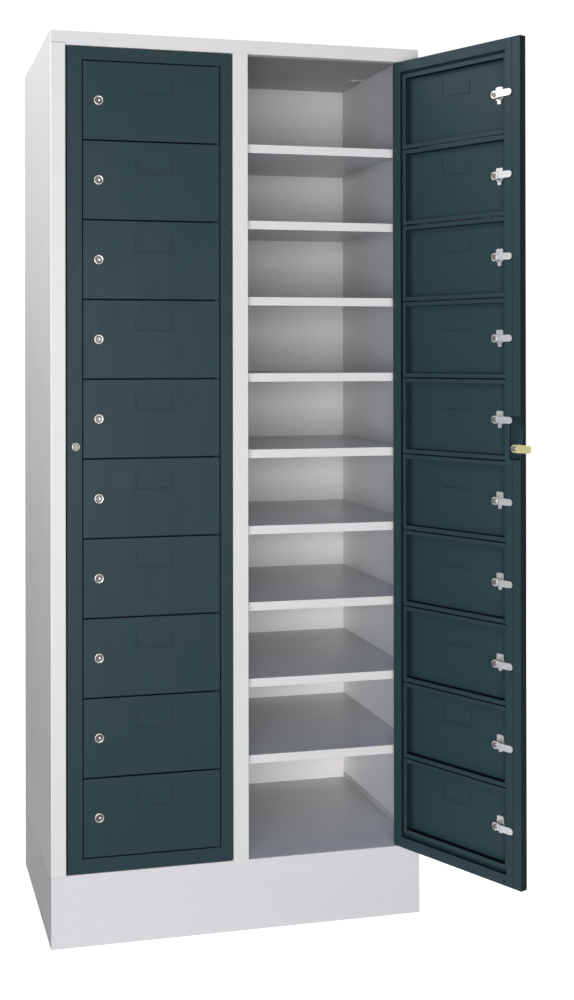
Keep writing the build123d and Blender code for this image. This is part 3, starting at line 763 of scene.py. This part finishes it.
def dress_carcass():
    for name in ("side_panel_left", "side_panel_right"):
        dress(name, [walls, side_paint, wall_paint], side_chooser(inner=2))
    dress("centre_post", [carcass])
    dress("roof_panel", [carcass, ceiling_shade_paint, slot_highlight], ceiling_chooser())
    dress("back_panel", [back_paint, carcass], rear_chooser())
    dress("partition", [inside])
    for name in ("floor_panel", "shelves_left", "shelves_right"):
        dress(name, [shelf_paint, lip_paint], lip_chooser(name))
    dress("plinth", [base_paint, plinth_side_shade_paint], side_chooser())
    dress("main_hinge_pins", [dark_steel])


def dress_doors(column):
    dress(f"door_frame_{column}", [frame_paints[column], edge_shade_paint], edge_chooser(column))
    dress(f"pivot_tabs_{column}", [tab_shade_paints[column], dark_steel], pin_chooser(column))
    dress(f"main_lock_case_{column}", [nickel])
    lock = f"main_lock_{column}"
    choose = lock_chooser(*lock_axis(lock), MAIN_LENGTH)
    dress(lock, [plug_metal, yellow, satin, steel], choose)
    for number in NUMBERS:
        lock = f"small_lock_{column}_{number}"
        choose = lock_chooser(*lock_axis(lock), SMALL_LENGTH)
        dress(lock, [plug_metal, zinc, satin, steel], choose)
        door = f"small_door_{column}_{number}"
        dress(door, [pan_paints[column], satin, zinc], door_chooser(*lock_axis(lock)))


# Lock fronts: domed bezels over the stepped collars in bands of painted light and shade, and
# bright shutters over the keyways that give a painted glint. Profiles are rows of radius,
# height over the door and number of the material.

SMALL_BEZEL = 0.01025
MAIN_BEZEL = 0.0090
BEZEL_SEGMENTS = 56
GLINT_SHUTTER = [(0.0019, 0.00255, 0), (0.0018, 0.0028, 0), (0.0013, 0.00305, 0), (0.0006, 0.0032, 0)]
GLINT_SHUTTER_ASIDE = 0.0014
GLINT_SHUTTER_SEGMENTS = 20


def bezel_profile(radius):
    """Painted light and shade in bands: a dark recess round the plug, a bright crest and a
    shaded wall down to the door.
    """
    rim = radius + 0.0002
    return [
        (PLUG_RADIUS + 0.00012, 0.00262, 2),
        (PLUG_RADIUS + 0.00045, 0.00268, 2),
        (PLUG_RADIUS + 0.00110, 0.00276, 2),
        (PLUG_RADIUS + 0.00150, 0.00284, 1),
        (rim - 0.0026, 0.00306, 0),
        (rim - 0.0020, 0.00312, 0),
        (rim - 0.0014, 0.00300, 0),
        (rim - 0.0008, 0.00256, 1),
        (rim - 0.0003, 0.00190, 1),
        (rim, 0.00110, 1),
        (rim, 0.00020, 1),
        (rim - 0.0003, 0.0, 1),
    ]


def finished(shape, name, materials):
    """Turns a bmesh into a mesh with materials."""
    mesh = bpy.data.meshes.new(name)
    shape.to_mesh(mesh)
    shape.free()
    for material in materials:
        mesh.materials.append(material)
    return mesh


def turned(name, profile, materials, segments, aside=0.0, closed=False):
    """A skin turned about the Y axis, or about one aside of it; closed adds both end faces."""
    shape = bmesh.new()
    rings = []
    for radius, height, _ in profile:
        ring = []
        for k in range(segments):
            angle = 2 * math.pi * k / segments
            x, z = aside + radius * math.cos(angle), radius * math.sin(angle)
            ring.append(shape.verts.new((x, -height, z)))
        rings.append(ring)
    for inner, outer, (_, _, slot) in zip(rings, rings[1:], profile):
        for k in range(segments):
            after = (k + 1) % segments
            face = shape.faces.new((inner[k], inner[after], outer[after], outer[k]))
            face.smooth = True
            face.material_index = slot
    if closed:
        shape.faces.new(rings[0])
        shape.faces.new(rings[-1])
    bmesh.ops.recalc_face_normals(shape, faces=shape.faces)
    return finished(shape, name, materials)


def facing(origin, inward):
    """Carries a mesh drawn about Y, with its front at zero, to a place on a door."""
    up = Vector((0, 0, 1))
    turn = Matrix((inward.cross(up), inward, up)).transposed().to_4x4()
    return Matrix.Translation(origin) @ turn


def add_piece(name, mesh, body, place):
    """A new object whose mesh is moved to its place, riding on a body."""
    mesh = mesh.copy()
    mesh.transform(place)
    piece = bpy.data.objects.new(name, mesh)
    bpy.context.scene.collection.objects.link(piece)
    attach(piece, body)


def add_lock_fronts():
    """A bezel on every lock, and a bright shutter on the small ones for a painted glint."""
    metals = (nickel, shaded_nickel, recess)
    small = turned("bezel_small", bezel_profile(SMALL_BEZEL), metals, BEZEL_SEGMENTS)
    main = turned("bezel_main", bezel_profile(MAIN_BEZEL), metals, BEZEL_SEGMENTS)
    # A guessed keyway shutter, bright for a painted glint
    glint_shutter = turned("glint_keyway", GLINT_SHUTTER, [glint], GLINT_SHUTTER_SEGMENTS, GLINT_SHUTTER_ASIDE, closed=True)
    for column in COLUMNS:
        place = facing(*lock_axis(f"main_lock_{column}"))
        add_piece(f"bezel_main_{column}", main, f"main_door_{column}", place)
        for number in NUMBERS:
            lock, door = f"small_lock_{column}_{number}", f"small_door_{column}_{number}"
            place = facing(*lock_axis(lock))
            add_piece(f"bezel_{column}_{number}", small, door, place)
            add_piece(f"keyway_{column}_{number}", glint_shutter, lock, place)


# Strips in the gaps between the small doors: guessed draught strips, near-black for the
# shade in the gaps, which is painted shade

STRIP_DEPTH = (0.0012, 0.0042)
STRIP_RISE = 0.00185
STRIP_SHOULDER = 0.0004
STRIP_ROOT = 0.0002
STRIP_STEPS = 8
STRIP_FROM_PIN = 0.0086
STRIP_FROM_LOCK_EDGE = 0.0006


def strip_mesh(name, width, edge, up):
    """A rubber bead along X that stands on a small door's edge; up is 1 for the top edge."""
    front, back = STRIP_DEPTH
    middle, half = (front + back) / 2, (back - front) / 2
    outline = [(front, -STRIP_ROOT), (back, -STRIP_ROOT)]
    for k in range(STRIP_STEPS + 1):
        angle = math.pi * k / STRIP_STEPS
        rise = STRIP_SHOULDER + (STRIP_RISE - STRIP_SHOULDER) * math.sin(angle)
        outline.append((middle + half * math.cos(angle), rise))
    shape = bmesh.new()
    reach = (STRIP_FROM_LOCK_EDGE + PIN_FROM_EDGE - width, -STRIP_FROM_PIN)
    ends = [[shape.verts.new((x, y, up * (edge + z))) for y, z in outline] for x in reach]
    for k in range(len(outline)):
        after = (k + 1) % len(outline)
        shape.faces.new((ends[0][k], ends[0][after], ends[1][after], ends[1][k]))
    for end in ends:
        shape.faces.new(end)
    bmesh.ops.recalc_face_normals(shape, faces=shape.faces)
    return finished(shape, name, [rubber])


def add_strips():
    """One strip on the top edge of every small door, and one below the lowest."""
    width, height = pan_size()
    upper = strip_mesh("strip_upper", width, height / 2, 1)
    lower = strip_mesh("strip_lower", width, height / 2, -1)
    for column in COLUMNS:
        for number in NUMBERS:
            door = f"small_door_{column}_{number}"
            place = facing(joint_place(door), BACKWARD[column])
            add_piece(f"strip_{column}_{number}", upper, door, place)
        add_piece(f"strip_{column}_bottom", lower, door, place)


# Studio

FLOOR_FRONT = -6.0
FLOOR_BACK = 2.4
FLOOR_CURVE = 1.6
FLOOR_STEPS = 12
FLOOR_SIDE = 9.0
BACKDROP_TOP = 6.5
PAPER = ((0.60, 0.60, 0.60), (0.64, 0.64, 0.64))
PAPER_GRAIN = 90.0
PAPER_GLOW = 0.90
AMBIENT = (0.058, 0.064, 0.088)
WHITE = (1, 1, 1)

# Name, place, target, size, power in watts and colour
LAMPS = [
    ("key_lamp", (-0.6, -4.7, 1.0), (0.0, 0.0, 0.95), (1.8, 1.6), 101, WHITE),
    ("left_lamp", (-2.1, -4.3, 0.9), (0.0, 0.0, 0.95), (1.4, 1.4), 70, WHITE),
    ("roof_lamp", (0.2, 0.9, 3.6), (0.1, 0.25, 1.85), (1.6, 1.2), 24, WHITE),
    ("rear_lamp", (1.9, 3.0, 1.7), (0.1, 0.25, 1.0), (1.6, 1.4), 46, WHITE),
    ("side_lamp", (-1.50, -0.1, 2.50), (-0.38, 0.1, 1.75), (0.8, 0.7), 16, (1.0, 0.955, 0.915)),
]

# The camera that the photo's edges gave, level but for a tenth of a degree
CAMERA_PLACE = (-0.7329, -3.0630, 1.1912)
CAMERA_TURN = (math.pi / 2 + 0.00207, 0.00141, -0.24467)
CAMERA_SHIFT = (0.06062, -0.14602)
CAMERA_LENS = 50.357


def seen_white(tree):
    """1 for rays that look at, or mirror, the surroundings and 0 for the light they give."""
    path = tree.nodes.new("ShaderNodeLightPath")
    total = path.outputs["Is Camera Ray"]
    for name in ("Is Glossy Ray", "Is Transmission Ray"):
        joined = tree.nodes.new("ShaderNodeMath")
        joined.operation = "MAXIMUM"
        tree.links.new(total, joined.inputs[0])
        tree.links.new(path.outputs[name], joined.inputs[1])
        total = joined.outputs[0]
    return total


def floor_material():
    """Matt white paper that reads as white where it is lit and keeps the shadow."""
    material = bpy.data.materials.new("floor_paper")
    material.use_nodes = True
    tree = material.node_tree
    tree.nodes.clear()
    output = tree.nodes.new("ShaderNodeOutputMaterial")
    paper = tree.nodes.new("ShaderNodeBsdfDiffuse")
    grain = tree.nodes.new("ShaderNodeTexNoise")
    grain.inputs["Scale"].default_value = PAPER_GRAIN
    tone = tree.nodes.new("ShaderNodeValToRGB")
    for element, colour in zip(tone.color_ramp.elements, PAPER):
        element.color = rgba(colour)
    tree.links.new(grain.outputs["Fac"], tone.inputs["Fac"])
    tree.links.new(tone.outputs["Color"], paper.inputs["Color"])
    glow = tree.nodes.new("ShaderNodeEmission")
    scale = tree.nodes.new("ShaderNodeMath")
    scale.operation = "MULTIPLY"
    scale.inputs[1].default_value = PAPER_GLOW
    tree.links.new(seen_white(tree), scale.inputs[0])
    tree.links.new(scale.outputs[0], glow.inputs["Strength"])
    both = tree.nodes.new("ShaderNodeAddShader")
    tree.links.new(paper.outputs[0], both.inputs[0])
    tree.links.new(glow.outputs[0], both.inputs[1])
    tree.links.new(both.outputs[0], output.inputs["Surface"])
    return material


def sweep():
    """A pale floor that curves up into a backdrop."""
    profile = [(FLOOR_FRONT, 0.0), (FLOOR_BACK, 0.0)]
    for k in range(1, FLOOR_STEPS + 1):
        angle = math.pi / 2 * k / FLOOR_STEPS
        rise = FLOOR_CURVE - FLOOR_CURVE * math.cos(angle)
        profile.append((FLOOR_BACK + FLOOR_CURVE * math.sin(angle), rise))
    profile.append((FLOOR_BACK + FLOOR_CURVE, BACKDROP_TOP))
    shape = bmesh.new()
    sides = (-FLOOR_SIDE, FLOOR_SIDE)
    rows = [[shape.verts.new((x, y, z)) for x in sides] for y, z in profile]
    for low, high in zip(rows, rows[1:]):
        shape.faces.new((low[0], low[1], high[1], high[0])).smooth = True
    mesh = finished(shape, "floor_sweep", [floor_material()])
    floor = bpy.data.objects.new("floor_sweep", mesh)
    bpy.context.scene.collection.objects.link(floor)


def surroundings():
    """A white world to look at, which lights the object only softly."""
    world = bpy.data.worlds.new("studio")
    bpy.context.scene.world = world
    world.use_nodes = True
    tree = world.node_tree
    tree.nodes.clear()
    output = tree.nodes.new("ShaderNodeOutputWorld")
    sky = tree.nodes.new("ShaderNodeBackground")
    tone = tree.nodes.new("ShaderNodeMix")
    tone.data_type = "RGBA"
    tone.inputs["A"].default_value = rgba(AMBIENT)
    tone.inputs["B"].default_value = rgba(WHITE)
    tree.links.new(seen_white(tree), tone.inputs["Factor"])
    tree.links.new(tone.outputs["Result"], sky.inputs["Color"])
    tree.links.new(sky.outputs[0], output.inputs["Surface"])


def lamp(name, place, target, size, power, colour):
    """A soft rectangular lamp that faces the target."""
    light = bpy.data.lights.new(name, "AREA")
    light.shape = "RECTANGLE"
    light.size, light.size_y = size
    light.energy = power
    light.color = colour
    holder = bpy.data.objects.new(name, light)
    bpy.context.scene.collection.objects.link(holder)
    holder.location = place
    turn = (Vector(target) - Vector(place)).to_track_quat("-Z", "Y")
    holder.rotation_euler = turn.to_euler()
    holder.visible_camera = False


def camera():
    """A camera to the left of the locker, at the height of the upper shelves."""
    data = bpy.data.cameras.new("camera")
    data.sensor_fit = "AUTO"
    data.sensor_width = 36.0
    data.lens = CAMERA_LENS
    data.shift_x, data.shift_y = CAMERA_SHIFT
    data.clip_end = 50
    viewer = bpy.data.objects.new("camera", data)
    bpy.context.scene.collection.objects.link(viewer)
    viewer.location = CAMERA_PLACE
    viewer.rotation_euler = CAMERA_TURN
    bpy.context.scene.camera = viewer


dress_carcass()
for column in COLUMNS:
    dress_doors(column)
add_lock_fronts()
add_strips()

sweep()
surroundings()
for settings in LAMPS:
    lamp(*settings)
camera()

scene = bpy.context.scene
scene.view_settings.view_transform = "Standard"
